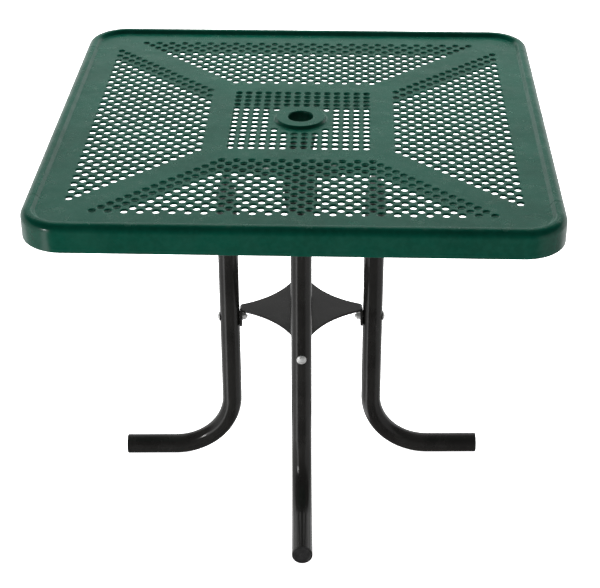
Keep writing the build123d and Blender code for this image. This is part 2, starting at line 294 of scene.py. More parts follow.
def edge_levels(thickness, top_lip, low_lip, top_steps, low_steps):
    """(inset, depth, sideways, upwards) down a plate's rounded edge; a lip is (width, depth)."""
    levels = []
    for (width, depth), steps, way in ((top_lip, top_steps, 1), (low_lip, low_steps, -1)):
        for step in range(steps + 1):
            a = math.pi / 2 * step / steps
            out, up = (math.sin(a), math.cos(a)) if way > 0 else (math.cos(a), math.sin(a))
            level = depth * (1 - up) if way > 0 else thickness - depth * (1 - up)
            long = math.hypot(out / width, up / depth)
            levels.append((width * (1 - out), level, out / width / long, way * up / depth / long))
    return levels


def plate(loops, thickness, top_lip, low_lip, top_steps=2, low_steps=2):
    """A flat plate below z = 0 with rounded edges: the first loop is its outline, the rest holes."""
    shape = Shape()
    top, bottom = [], []
    for loop in loops:
        xy, facing = loop[:, :2], loop[:, 2:]
        rows, normals = [], []
        levels = edge_levels(thickness, top_lip, low_lip, top_steps, low_steps)
        for inset, depth, sideways, upwards in levels:
            moved = xy - facing * inset
            rows.append(np.column_stack([moved, np.full(len(moved), -depth)]))
            normals.append(np.column_stack([facing * sideways, np.full(len(moved), upwards)]))
        index = shape.grid(rows, normals)
        top.append((index[0], rows[0][:, :2]))
        bottom.append((index[-1], rows[-1][:, :2]))
    triangles = flat_fill(shape, top, UP)
    below = np.concatenate([i for i, _ in bottom])[triangles]
    shape.add_faces(below, np.tile((0.0, 0.0, -1.0), (len(below), 3, 1)))
    return shape


def lathe(profile, segments=48, close=False):
    """Turns points (radius, z, normal r, normal z) about Z; an open profile gets flat ends."""
    shape = Shape()
    angle = np.arange(segments) * 2 * math.pi / segments
    c, s = np.cos(angle), np.sin(angle)
    r, z, nr, nz = (profile[:, k][:, None] for k in range(4))
    points = np.stack([r * c, r * s, z + 0 * c], -1)
    normals = np.stack([nr * c, nr * s, nz + 0 * c], -1)
    index = shape.grid(points, normals, wrap_rows=close)
    if not close:
        shape.cap(index[0], (0.0, 0.0, -1.0))
        shape.cap(index[-1], UP)
    return shape


# ---------------------------------------------------------------- top
def hole_places():
    """Centres of all perforations: the middle grid, then four panels turned a quarter each."""
    middle = (GRID_COUNT - 1) / 2
    places = []
    for column in range(GRID_COUNT):
        for row in range(GRID_COUNT):
            x, y = (column - middle) * PITCH, (row - middle) * PITCH
            if math.hypot(x, y) > GRID_CLEAR_R:
                places.append((x, y))
    for row in range(PANEL_ROWS):
        reach = PANEL_OUTER_Y - row * STAGGER / 2
        count = PANEL_FIRST_COUNT - row
        for index in range(count):
            along = (index - (count - 1) / 2) * STAGGER
            places += [(along, reach), (-along, -reach), (-reach, along), (reach, -along)]
    return places


def perforated_top():
    """The sheet with its perforations, each with the coating's rounded lips."""
    corner_r = CORNER_R - 1 * MM     # a little squarer than the rim, which then hides the edge
    loops = [rounded_rectangle(2 * HALF_FIELD, 2 * HALF_FIELD, corner_r, steps=10)]
    loops += [circle_outline(x, y, HOLE_R, HOLE_SEGMENTS, hole=True) for x, y in hole_places()]
    loops.append(circle_outline(0, 0, SLEEVE_R, 48, hole=True))
    sheet = plate(loops, SHEET_T, TOP_LIP, LOW_LIP, low_steps=1)
    return sheet.moved(Matrix.Translation((0, 0, FIELD_Z)))


def rim_section():
    """The rolled rim: x outwards from the field's edge, y up from the field."""
    crest_start = 7.0 * MM
    foot = 5.0 * MM              # width of the coating's fillet over the sheet
    sink = 0.08 * MM             # the fillet's edge dips just under the sheet's surface
    tiny = 0.1 * MM
    return rounded_path([
        (0, RIM_BOTTOM, 3 * MM),
        (RIM_WIDTH, RIM_BOTTOM, 3 * MM),
        (RIM_WIDTH, RIM_CREST, 14 * MM),
        (crest_start, RIM_CREST, 5 * MM),
        (0.3 * MM, 0, 4.5 * MM),
        (-foot, -sink, tiny),
        (-foot, -SHEET_T / 2, tiny),
        (0, -SHEET_T / 2, tiny),
    ], steps=8)


def rim_stations(with_corners):
    """(x, y, outward x, outward y) along the field's edge, from one joint to the next."""
    h, r = HALF_FIELD, CORNER_R
    if not with_corners:
        return [(-h, SEAM_Y, -1, 0), (-h, -SEAM_Y, -1, 0)]
    stations = [(-h, -SEAM_Y, -1, 0)]
    steps = 20
    for centre, first in (((-h + r, -h + r), 180), ((h - r, -h + r), 270)):
        for step in range(steps + 1):
            angle = math.radians(first + 90 * step / steps)
            out = (math.cos(angle), math.sin(angle))
            stations.append((centre[0] + r * out[0], centre[1] + r * out[1], *out))
    stations.append((h, -SEAM_Y, 1, 0))
    return stations


def rim_piece(with_corners):
    """One rim piece, its ends rounded over where they meet the next piece at a welded joint."""
    section = rim_section()
    groove = 0.9 * MM
    steps = 4
    stations = rim_stations(with_corners)
    rows, normals = [], []

    def add(x, y, out, inset, way, sideways):
        u = section[:, 0] - section[:, 2] * inset
        w = section[:, 1] - section[:, 3] * inset
        rows.append(np.column_stack([x + out[0] * u, y + out[1] * u, FIELD_Z + w]))
        n = np.column_stack([out[0] * section[:, 2], out[1] * section[:, 2], section[:, 3]])
        normals.append(n * math.sqrt(1 - sideways ** 2) + np.array([*way, 0]) * sideways)

    for number, (x, y, ox, oy) in enumerate(stations):
        first, last = number == 0, number == len(stations) - 1
        if not (first or last):
            add(x, y, (ox, oy), 0, (0, 0), 0)
            continue
        other = stations[1] if first else stations[-2]
        inward = Vector((other[0] - x, other[1] - y)).normalized()
        turns = [math.pi / 2 * s / steps for s in range(steps + 1)]
        for a in turns if first else turns[::-1]:
            shift = groove * (1 - math.cos(a))
            add(x + inward.x * shift, y + inward.y * shift, (ox, oy), groove * (1 - math.sin(a)),
                -inward, math.cos(a))
    shape = Shape()
    index = shape.grid(rows, normals)
    shape.cap(index[0], (0.0, 1.0, 0.0))
    shape.cap(index[-1], (0.0, 1.0 if with_corners else -1.0, 0.0))
    return shape


def umbrella_collar():
    """Raised ring with a bore, its outer foot blended into the sheet."""
    top = COLLAR_HIGH.z - FIELD_Z
    low = COLLAR_LOW.z - FIELD_Z
    tiny = 0.3 * MM
    section = rounded_path([
        (SLEEVE_R - 0.3 * MM, low, 1.5 * MM),
        (SLEEVE_R - 0.3 * MM, -SHEET_T / 2, tiny),
        (COLLAR_HIGH.x + 3 * MM, -SHEET_T / 2, tiny),
        (COLLAR_HIGH.x + 3 * MM, -0.1 * MM, tiny),
        (COLLAR_HIGH.x - 1.5 * MM, 0, 5 * MM),
        (COLLAR_HIGH.x - 5.5 * MM, top, 2.5 * MM),
        (COLLAR_BORE_R, top, 2.5 * MM),
        (COLLAR_BORE_R, low, 1.0 * MM),
    ], steps=6)
    return lathe(section, segments=96, close=True).moved(Matrix.Translation((0, 0, FIELD_Z)))


# ---------------------------------------------------------------- channels
def channel_section(width, depth, opening):
    """A C of rounded sheet metal: x across, y up, with the gap on the given side."""
    w, d, t, r = width / 2, depth / 2, CHANNEL_T, 3.5 * MM
    edge = 0.8 * MM
    if opening == "outside":
        section = [(-w, d, r), (-w, -d, r), (w, -d, edge), (w, -d + t, edge),
                   (-w + t, -d + t, r - t + edge), (-w + t, d - t, r - t + edge),
                   (w, d - t, edge), (w, d, edge)]
    else:
        section = [(-w, -d, edge), (-w + t, -d, edge), (-w + t, d - t, r - t + edge),
                   (w - t, d - t, r - t + edge), (w - t, -d, edge), (w, -d, edge),
                   (w, d, r), (-w, d, r)]
    return rounded_path(section, steps=3)


def straight_bar(section, middle_z, starts, ends, across, along):
    """Runs a section from starts to ends along one direction; both are given per point."""
    across, along = np.array(across), np.array(along)
    rows = []
    for reach in (starts, ends):
        flat = np.outer(section[:, 0], across) + np.outer(reach, along)
        rows.append(np.column_stack([flat, middle_z + section[:, 1]]))
    n = np.column_stack([np.outer(section[:, 2], across), section[:, 3]])
    shape = Shape()
    index = shape.grid(rows, [n, n])
    shape.cap(index[0], (-along[0], -along[1], 0.0))
    shape.cap(index[1], (along[0], along[1], 0.0))
    return shape


def ring_channel():
    """Right ring channel, open outwards, with mitred ends."""
    centre = (RING_LOW.x + RING_HIGH.x) / 2
    section = channel_section(RING_HIGH.x - RING_LOW.x, RING_HIGH.z - RING_LOW.z, "outside")
    reach = centre + section[:, 0]
    section = section + np.array([centre, 0, 0, 0])
    return straight_bar(section, (RING_LOW.z + RING_HIGH.z) / 2, -reach, reach, (1, 0), (0, 1))


def diagonal_channel():
    """Channel along +X, open below: a notch over the ring's corner, an arc in the rim's corner."""
    width = 25.4 * MM
    section = channel_section(width, RING_HIGH.z - RING_LOW.z, "below")
    sideways = np.abs(section[:, 0])
    near = RING_HIGH.x * math.sqrt(2) - sideways
    corner = (HALF_FIELD - CORNER_R) * math.sqrt(2)
    far = corner + np.sqrt(CORNER_R ** 2 - sideways ** 2)
    return straight_bar(section, (RING_LOW.z + RING_HIGH.z) / 2, near, far, (0, 1), (1, 0))


# ---------------------------------------------------------------- legs
def pressed_outline(count):
    """Evenly spaced points and normals round a leg's flattened end, x across its faces."""
    end_r = CRUSH_T / 2
    straight = CRUSH_WIDTH / 2 - end_r
    quarter = straight + end_r * math.pi / 2
    turn = (np.arange(count) + 0.5) * 2 * math.pi / count
    along = np.arcsin(np.abs(np.sin(turn))) / (math.pi / 2) * quarter
    angle = np.maximum(0, along - straight) / end_r
    signs = np.column_stack([np.sign(np.cos(turn)), np.sign(np.sin(turn))])
    normals = np.column_stack([np.cos(angle), np.sin(angle)])
    points = end_r * normals
    points[:, 1] += np.minimum(along, straight)
    return signs * points, signs * normals


def leg_sections():
    """(x, z, direction of the section's own x axis, share of flattening) from top to foot."""
    top = LEG_TOP_Z
    flare_steps, bend_steps = 10, 28
    sections = [(LEG_AXIS, top, math.pi, 1.0)]
    for step in range(flare_steps + 1):
        share = 1 - step / flare_steps
        height = CRUSH_LOW_Z + (CRUSH_HIGH_Z - CRUSH_LOW_Z) * share
        sections.append((LEG_AXIS, height, math.pi, share))
    for step in range(bend_steps + 1):
        a = math.pi + math.pi / 2 * step / bend_steps
        sections.append((LEG_AXIS + LEG_BEND_R * (1 + math.cos(a)),
                         TUBE_R + LEG_BEND_R * (1 + math.sin(a)), a, 0.0))
    sections.append((FOOT_TUBE_END, TUBE_R, math.pi * 1.5, 0.0))
    return sections


def leg_tube():
    """Right leg: a bent round tube whose upper end is pressed flat."""
    count = 48
    turn = (np.arange(count) + 0.5) * 2 * math.pi / count
    circle = TUBE_R * np.column_stack([np.cos(turn), np.sin(turn)])
    flat, _ = pressed_outline(count)
    rows = []
    for x, z, a, share in leg_sections():
        section = circle * (1 - share) + flat * share
        sideways = np.outer(section[:, 0], (math.cos(a), 0, math.sin(a)))
        rows.append(np.array([x, 0, z]) + sideways + np.outer(section[:, 1], (0, 1, 0)))
    rows = np.array(rows)
    around = np.roll(rows, -1, axis=1) - np.roll(rows, 1, axis=1)
    normals = np.cross(around, np.gradient(rows, axis=0))
    normals /= np.linalg.norm(normals, axis=2)[:, :, None]
    outwards = (normals * (rows - rows.mean(1)[:, None])).sum(2) > 0
    normals = np.where(outwards[:, :, None], normals, -normals)
    shape = Shape()
    index = shape.grid(rows, normals)
    shape.cap(index[0], UP)
    shape.cap(index[-1], (1.0, 0.0, 0.0))
    return shape


def foot_cap():
    """Round plug head with a raised rim and a shallow dish, facing +X."""
    r = TUBE_R
    profile = rounded_path([
        (r - 3 * MM, 0.02 * MM, 0),
        (r - 0.25 * MM, 0.02 * MM, 0.15 * MM),
        (r - 0.05 * MM, CAP_T * 0.35, 0.3 * MM),
        (r - 0.05 * MM, CAP_T, 1.0 * MM),
        (r - 4.0 * MM, CAP_T, 0.5 * MM),
        (r - 5.2 * MM, CAP_T - 0.9 * MM, 0.5 * MM),
        (5.0 * MM, CAP_T - 0.9 * MM, 0.4 * MM),
        (4.4 * MM, CAP_T - 0.5 * MM, 0.2 * MM),
        (1.0 * MM, CAP_T - 0.5 * MM, 0),
    ], closed=False, steps=4)
    side = Matrix.Translation((FOOT_TUBE_END, 0, TUBE_R)) @ Matrix.Rotation(math.pi / 2, 4, "Y")
    return lathe(profile, segments=48).moved(side)


def leg_plate():
    """Rounded plate on the right leg's top end."""
    outline = rounded_rectangle(PLATE_WIDTH, PLATE_LENGTH, 6 * MM)
    thick = PLATE_HIGH.z - PLATE_LOW.z
    edge = (0.8 * MM, 0.8 * MM)
    return plate([outline], thick, edge, edge).moved(Matrix.Translation((PLATE_REACH, 0, PLATE_HIGH.z)))


def leg_weld():
    """Rippled fillet weld between the leg's flattened end and its plate."""
    size, ripple, ripples = 4.5 * MM, 0.35 * MM, 56
    count, steps = ripples * 4, 6
    sink = 0.5 * MM                  # the bead's edge starts inside the tube's wall
    outline, facing = pressed_outline(count)
    wave = np.arange(count) * math.pi / 2
    sizes = size + ripple * np.sin(wave)
    tilt = np.column_stack([-facing[:, 1], facing[:, 0]]) * np.cos(wave)[:, None] * 0.35
    rows, normals = [], []
    for step in range(steps + 1):
        a = math.pi / 2 * step / steps
        spread = outline + facing * (sizes * math.sin(a) - sink)[:, None]
        rows.append(np.column_stack([spread, -sizes * math.cos(a)]))
        n = np.column_stack([facing * math.sin(a) + tilt, np.full(count, -math.cos(a))])
        normals.append(n / np.linalg.norm(n, axis=1)[:, None])
    shape = Shape()
    shape.grid(rows, normals)
    return shape.moved(Matrix.Translation((LEG_AXIS, 0, LEG_TOP_Z)))


# ---------------------------------------------------------------- brace plate
def brace_outline():
    """The brace's flat pattern: points and tabs unfolded along X and Y."""
    tip = BRACE_REACH - BRACE_BEND_R
    half = BRACE_TAB_HALF
    waist = BRACE_WAIST
    centre = (tip ** 2 + half ** 2 - 2 * waist ** 2) / (2 * (tip + half) - 4 * waist)
    radius = math.sqrt(2) * (centre - waist)
    bend = BRACE_BEND_R * math.pi / 2
    end = tip + bend + (BRACE_HIGH.z - BRACE_BEND_R - BRACE_LOW.z)
    folds = [tip + bend * k / 8 for k in range(9)]
    nose = rounded_path([(folds[-1], -half, 0), (end, -half, BRACE_TAB_CORNER_R),
                         (end, half, BRACE_TAB_CORNER_R), (folds[-1], half, 0)], closed=False)
    out = [(s, -half, 0, -1) for s in folds[:-1]] + nose.tolist()
    out += [(s, half, 0, 1) for s in folds[-2::-1]]
    first = math.atan2(half - centre, tip - centre)
    last = math.atan2(tip - centre, half - centre)
    first, last = first % (2 * math.pi), last % (2 * math.pi)
    for k in range(1, 30):
        a = first + (last - first) * k / 30
        out.append((centre + radius * math.cos(a), centre + radius * math.sin(a),
                    -math.cos(a), -math.sin(a)))
    quarter = np.array(out)
    turns = []
    for k in range(4):
        m = np.array(Matrix.Rotation(math.pi / 2 * k, 2))
        turns.append(np.hstack([quarter[:, :2] @ m.T, quarter[:, 2:] @ m.T]))
    return np.concatenate(turns)


def folded(point, normal):
    """Bends the flat pattern's four tabs down round the plate's points."""
    tip = BRACE_REACH - BRACE_BEND_R
    axis = 0 if abs(point[0]) > abs(point[1]) else 1
    sign = math.copysign(1, point[axis])
    reach, depth = abs(point[axis]) - tip, -point[2]
    if reach <= 0:
        return point, normal
    bend = BRACE_BEND_R * math.pi / 2
    a = min(reach / BRACE_BEND_R, math.pi / 2)
    radius = BRACE_BEND_R - depth
    past = max(0.0, reach - bend)
    new, turned_normal = list(point), list(normal)
    new[axis] = sign * (tip + radius * math.sin(a))
    new[2] = -BRACE_BEND_R + radius * math.cos(a) - past
    sideways, upwards = sign * normal[axis], normal[2]
    turned_normal[axis] = sign * (sideways * math.cos(a) + upwards * math.sin(a))
    turned_normal[2] = upwards * math.cos(a) - sideways * math.sin(a)
    return new, turned_normal


def brace_plate():
    """Four-pointed star with a pole hole, its points folded down into tabs."""
    loops = [brace_outline(), circle_outline(0, 0, POLE_HOLE_R, 64, hole=True)]
    edge = (0.9 * MM, 0.9 * MM)
    flat = plate(loops, BRACE_T, edge, edge)
    corner_points = [flat.points[i] for face in flat.faces for i in face]
    flat.normals = [folded(p, n)[1] for p, n in zip(corner_points, flat.normals)]
    flat.points = np.array([folded(p, UP)[0] for p in flat.points])
    return flat.moved(Matrix.Translation((0, 0, BRACE_HIGH.z)))


# ---------------------------------------------------------------- fasteners
def thread(start, end):
    """Corners of a thread's zigzag, from start to end along a bolt."""
    corners, z = [], start
    while z + THREAD_PITCH < end:
        corners.append((BOLT_R - THREAD_DEPTH, z + THREAD_PITCH / 2, 0.08 * MM))
        corners.append((BOLT_R, z + THREAD_PITCH, 0.08 * MM))
        z += THREAD_PITCH
    return corners


def shank_corners(length, threaded):
    """Corners from a bolt's bearing face up its shank to its chamfered end."""
    chamfer = 0.8 * MM
    return [
        (BOLT_R, 0, 0.2 * MM),
        (BOLT_R, length - threaded, 0.08 * MM),
        *thread(length - threaded, length - chamfer),
        (BOLT_R - 0.1 * MM, length - chamfer, 0.05 * MM),
        (BOLT_R - chamfer, length, 0.1 * MM),
        (1.0 * MM, length, 0),
    ]


def dome_bolt(length, head_r, head_h):
    """Dome-headed bolt: shank up from z = 0, head below it."""
    brim = 0.9 * MM
    crown = (head_r ** 2 + (head_h - brim) ** 2) / (2 * (head_h - brim))
    swing = math.asin(head_r / crown)
    steps = 10
    dome = []
    for k in range(1, steps + 1):
        a = swing * k / steps
        dome.append((crown * math.sin(a), -head_h + crown * (1 - math.cos(a)),
                     math.sin(a), -math.cos(a)))
    corners = [(head_r, -brim, 0), (head_r, 0, 0.35 * MM), *shank_corners(length, 18 * MM)]
    rest = rounded_path(corners, closed=False, steps=2)
    return lathe(np.vstack([dome, rest]), segments=40)


def hexagon(height, chamfer_bottom=False, hole_r=0.0):
    """Hexagonal solid on z = 0 whose corners are cut back by cones."""
    per_side = 8
    flat_r = HEX_FLATS / 2
    corner_r = flat_r / math.cos(math.pi / 6)
    turns = [math.pi / 3 * k + math.pi / 6 for k in range(6)]
    corners = [(corner_r * math.cos(a), corner_r * math.sin(a)) for a in turns]
    xy, facing = [], []
    for k in range(6):
        a, b = Vector(corners[k]), Vector(corners[(k + 1) % 6])
        normal = ((a + b) / 2).normalized()
        for j in range(per_side + 1):
            xy.append(a.lerp(b, j / per_side))
            facing.append(normal)
    xy, facing = np.array(xy), np.array(facing)
    out = np.linalg.norm(xy, axis=1)
    circle = flat_r * 0.94           # radius where the corners' cones meet the flat face
    cone_slope = math.radians(30)
    drop = np.maximum(0, (out - circle) * math.tan(cone_slope))
    rim = xy / out[:, None] * circle
    cone = xy / out[:, None] * math.sin(cone_slope)
    cone_up = math.cos(cone_slope)
    n = len(xy)
    shape = Shape()

    def ring(points, z, normals, z_normal):
        return (np.column_stack([points, np.broadcast_to(z, n)]),
                np.column_stack([normals, np.full(n, z_normal)]))

    low = drop if chamfer_bottom else np.zeros(n)
    walls = [ring(xy, low, facing, 0.0), ring(xy, height - drop, facing, 0.0)]
    shape.grid([w[0] for w in walls], [w[1] for w in walls])
    bevel = [ring(xy, height - drop, cone, cone_up), ring(rim, height, cone, cone_up)]
    shape.grid([b[0] for b in bevel], [b[1] for b in bevel])
    if chamfer_bottom:
        bevel = [ring(xy, low, cone, -cone_up), ring(rim, 0, cone, -cone_up)]
        shape.grid([b[0] for b in bevel], [b[1] for b in bevel])
    inner = xy / out[:, None] * max(hole_r, 0.3 * MM)
    base = rim if chamfer_bottom else xy
    for outer_ring, z, way in ((rim, height, 1.0), (base, 0, -1.0)):
        faces = [ring(outer_ring, z, xy * 0, way), ring(inner, z, xy * 0, way)]
        shape.grid([f[0] for f in faces], [f[1] for f in faces])
    if hole_r:
        wall = -xy / out[:, None]
        faces = [ring(inner, 0, wall, 0.0), ring(inner, height, wall, 0.0)]
        shape.grid([f[0] for f in faces], [f[1] for f in faces])
    return shape


def hex_bolt(length, head_h):
    """Hexagon-headed bolt: shank up from z = 0, chamfered head below it."""
    flip = Matrix.Rotation(math.pi, 4, "X")
    head = hexagon(head_h).moved(flip)
    profile = rounded_path([(BOLT_R, -1 * MM, 0), *shank_corners(length, 16 * MM)[1:]],
                           closed=False, steps=2)
    return head.join(lathe(profile, segments=32))


def washer(outer_r, thick):
    """Flat washer on z = 0 for an M8 bolt."""
    section = rounded_path([(outer_r, 0, 0.3 * MM), (outer_r, thick, 0.3 * MM),
                            (BOLT_R + 0.3 * MM, thick, 0.2 * MM), (BOLT_R + 0.3 * MM, 0, 0.2 * MM)],
                           steps=3)
    return lathe(section, segments=40, close=True)


def brace_frame(reach, spin=0.0):
    """At a distance along +X at bolt height, with local +Z pointing at the table's axis."""
    turn = Matrix.Rotation(-math.pi / 2, 4, "Y") @ Matrix.Rotation(spin, 4, "Z")
    return Matrix.Translation((reach, 0, BRACE_BOLT_Z)) @ turn


def four_legs(shape):
    """The right leg's share of a shape, repeated at all four legs."""
    return joined(turned(shape, degrees + LEG_TURN) for degrees in SIDES.values())


def brace_fasteners():
    """Bolts, washers and nuts of the brace plate, each a group of four."""
    head_face = LEG_AXIS + TUBE_R
    tab_inner = BRACE_REACH - BRACE_T
    nut_spin = 0.35                  # radians by which the nut happens to be turned
    length = head_face - tab_inner + WASHER_T + NUT_H + BOLT_TAIL
    bolt = dome_bolt(length, DOME_HEAD_R, DOME_HEAD_H).moved(brace_frame(head_face))
    ring = washer(WASHER_R, WASHER_T).moved(brace_frame(tab_inner))
    nut = hexagon(NUT_H, True, BOLT_R).moved(brace_frame(tab_inner - WASHER_T, nut_spin))
    return {"brace_bolts": bolt, "brace_washers": ring, "brace_nuts": nut}


def mount_fasteners():
    """Bolts, washers and nuts of the leg plates, two for each leg."""
    plate_low = PLATE_LOW.z
    length = MOUNT_BOLT_HIGH.z - plate_low
    washer_t = MOUNT_WASHER_HIGH.z - MOUNT_WASHER_LOW.z
    nut_h = MOUNT_NUT_HIGH.z - MOUNT_NUT_LOW.z
    parts = {
        "mount_bolts": (plate_low, hex_bolt(length, plate_low - MOUNT_BOLT_LOW.z)),
        "mount_washers": (MOUNT_WASHER_LOW.z, washer(WASHER_R, washer_t)),
        "mount_nuts": (MOUNT_NUT_LOW.z, hexagon(nut_h, True, BOLT_R)),
    }
    spins = {-MOUNT_BOLT_OFFSET: 0.2, MOUNT_BOLT_OFFSET: 0.75}
    groups = {}
    for name, (z, shape) in parts.items():
        pair = []
        for side, spin in spins.items():
            place = Matrix.Translation((MOUNT_BOLT_REACH, side, z)) @ Matrix.Rotation(spin, 4, "Z")
            pair.append(shape.moved(place))
        groups[name] = joined(pair)
    return groups


# ---------------------------------------------------------------- materials
class Nodes:
    """A material's node tree, with short calls for the nodes that these materials share."""

    def __init__(self, name):
        self.material = bpy.data.materials.new(name)
        self.material.use_nodes = True
        self.tree = self.material.node_tree
        self.shader = self.tree.nodes["Principled BSDF"]
        coordinates = self.tree.nodes.new("ShaderNodeTexCoord")
        self.place = coordinates.outputs["Object"]
        self.facing = self.tree.nodes.new("ShaderNodeNewGeometry").outputs["Normal"]

    def link(self, source, target):
        self.tree.links.new(source, target)

    def noise(self, scale, detail=3.0, roughness=0.5, stretch=None):
        """A noise value from 0 to 1; scale is in cells per metre."""
        node = self.tree.nodes.new("ShaderNodeTexNoise")
        node.inputs["Scale"].default_value = scale
        node.inputs["Detail"].default_value = detail
        node.inputs["Roughness"].default_value = roughness
        source = self.place
        if stretch:
            mapping = self.tree.nodes.new("ShaderNodeMapping")
            mapping.inputs["Scale"].default_value = stretch
            self.link(self.place, mapping.inputs["Vector"])
            source = mapping.outputs["Vector"]
        self.link(source, node.inputs["Vector"])
        return node.outputs["Fac"]

    def spread(self, value, low, high, to_low=0.0, to_high=1.0):
        """Maps a value from one range to another, clamped."""
        node = self.tree.nodes.new("ShaderNodeMapRange")
        node.interpolation_type = "SMOOTHSTEP"
        limits = {"From Min": low, "From Max": high, "To Min": to_low, "To Max": to_high}
        for socket, number in limits.items():
            node.inputs[socket].default_value = number
        self.link(value, node.inputs["Value"])
        return node.outputs["Result"]

    def times(self, a, b):
        node = self.tree.nodes.new("ShaderNodeMath")
        node.operation = "MULTIPLY"
        for socket, value in zip(node.inputs, (a, b)):
            if isinstance(value, float):
                socket.default_value = value
            else:
                self.link(value, socket)
        return node.outputs["Value"]

    def plus(self, a, b):
        node = self.tree.nodes.new("ShaderNodeMath")
        node.operation = "ADD"
        self.link(a, node.inputs[0])
        self.link(b, node.inputs[1])
        return node.outputs["Value"]

    def mix(self, factor, a, b):
        """Mixes two colours; each is a colour or a socket."""
        node = self.tree.nodes.new("ShaderNodeMix")
        node.data_type = "RGBA"
        self.link(factor, node.inputs["Factor"])
        for socket, value in ((node.inputs[6], a), (node.inputs[7], b)):
            if isinstance(value, tuple):
                socket.default_value = (*value, 1.0)
            else:
                self.link(value, socket)
        return node.outputs[2]

    def upward(self, low, high):
        """1 on faces that look up, 0 on those that don't."""
        split = self.tree.nodes.new("ShaderNodeSeparateXYZ")
        self.link(self.facing, split.inputs["Vector"])
        return self.spread(split.outputs["Z"], low, high)

    def bump(self, heights):
        """Chains bumps given as (height socket, depth in metres) onto the shader."""
        before = None
        for height, depth in heights:
            node = self.tree.nodes.new("ShaderNodeBump")
            node.inputs["Strength"].default_value = 1.0
            node.inputs["Distance"].default_value = depth
            self.link(height, node.inputs["Height"])
            if before:
                self.link(before, node.inputs["Normal"])
            before = node.outputs["Normal"]
        self.link(before, self.shader.inputs["Normal"])

    def finish(self, colour, roughness, **fixed):
        self.link(colour, self.shader.inputs["Base Color"])
        self.link(roughness, self.shader.inputs["Roughness"])
        for name, value in fixed.items():
            self.shader.inputs[name.replace("_", " ")].default_value = value
        return self.material


def green_coating():
    """Thick dipped plastic coating: deep green, glossy, faintly wavy, a little dusty on top."""
    n = Nodes("green_coating")
    tone = n.spread(n.noise(7.0, 4.0), 0.35, 0.65)
    colour = n.mix(tone, (0.0, 0.048, 0.029), (0.0, 0.060, 0.037))
    fine = n.spread(n.noise(90.0, 5.0, 0.6), 0.4, 0.62)
    colour = n.mix(n.times(fine, 0.25), colour, (0.003, 0.080, 0.052))
    dust = n.times(n.spread(n.noise(38.0, 6.0, 0.65), 0.5, 0.78), n.upward(0.75, 0.98))
    colour = n.mix(n.times(dust, 0.10), colour, (0.16, 0.17, 0.15))
    roughness = n.plus(n.spread(n.noise(22.0, 4.0), 0.3, 0.7, 0.18, 0.27), n.times(dust, 0.10))
    n.bump([
        (n.noise(16.0, 2.0), 0.0016),
        (n.noise(260.0, 2.0), 0.00006),
    ])
    return n.finish(colour, roughness, Specular_IOR_Level=0.5)


def black_powder_coat():
    """Gloss black powder coat with a fine orange peel and faint rubbed streaks."""
    n = Nodes("black_powder_coat")
    tone = n.spread(n.noise(14.0, 4.0), 0.35, 0.65)
    colour = n.mix(tone, (0.012, 0.0115, 0.011), (0.018, 0.0175, 0.0165))
    rub = n.spread(n.noise(30.0, 6.0, 0.7, stretch=(3.0, 3.0, 0.6)), 0.56, 0.75)
    colour = n.mix(n.times(rub, 0.30), colour, (0.05, 0.05, 0.048))
    roughness = n.plus(n.spread(n.noise(40.0, 3.0), 0.3, 0.7, 0.12, 0.20), n.times(rub, 0.12))
    n.bump([
        (n.noise(60.0, 2.0), 0.0002),
        (n.noise(520.0, 2.0), 0.00005),
    ])
    return n.finish(colour, roughness, Specular_IOR_Level=0.5)


def zinc_steel():
    """Zinc-plated steel with soft mottling."""
    n = Nodes("zinc_steel")
    tone = n.spread(n.noise(420.0, 4.0), 0.35, 0.65)
    colour = n.mix(tone, (0.62, 0.62, 0.61), (0.80, 0.80, 0.79))
    roughness = n.spread(n.noise(300.0, 4.0), 0.3, 0.7, 0.26, 0.42)
    n.bump([(n.noise(900.0, 3.0), 0.00003)])
    return n.finish(colour, roughness, Metallic=0.5)


def black_plastic():
    """Moulded black plastic with a fine grain."""
    n = Nodes("black_plastic")
    tone = n.spread(n.noise(60.0, 4.0), 0.35, 0.65)
    colour = n.mix(tone, (0.012, 0.012, 0.012), (0.022, 0.022, 0.022))
    roughness = n.spread(n.noise(120.0, 4.0), 0.3, 0.7, 0.38, 0.5)
    n.bump([(n.noise(1400.0, 2.0), 0.00004)])
    return n.finish(colour, roughness, Specular_IOR_Level=0.5)


def floor_paint():
    """Plain white studio floor, bright enough to carry no shadow."""
    n = Nodes("studio_floor")
    tone = n.spread(n.noise(0.8, 3.0), 0.3, 0.7)
    colour = n.mix(tone, (0.90, 0.90, 0.90), (0.93, 0.93, 0.93))
    roughness = n.spread(n.noise(3.0, 3.0), 0.3, 0.7, 0.7, 0.8)
    return n.finish(colour, roughness, Specular_IOR_Level=0.0,
                    Emission_Color=(1.0, 1.0, 1.0, 1.0), Emission_Strength=1.2)


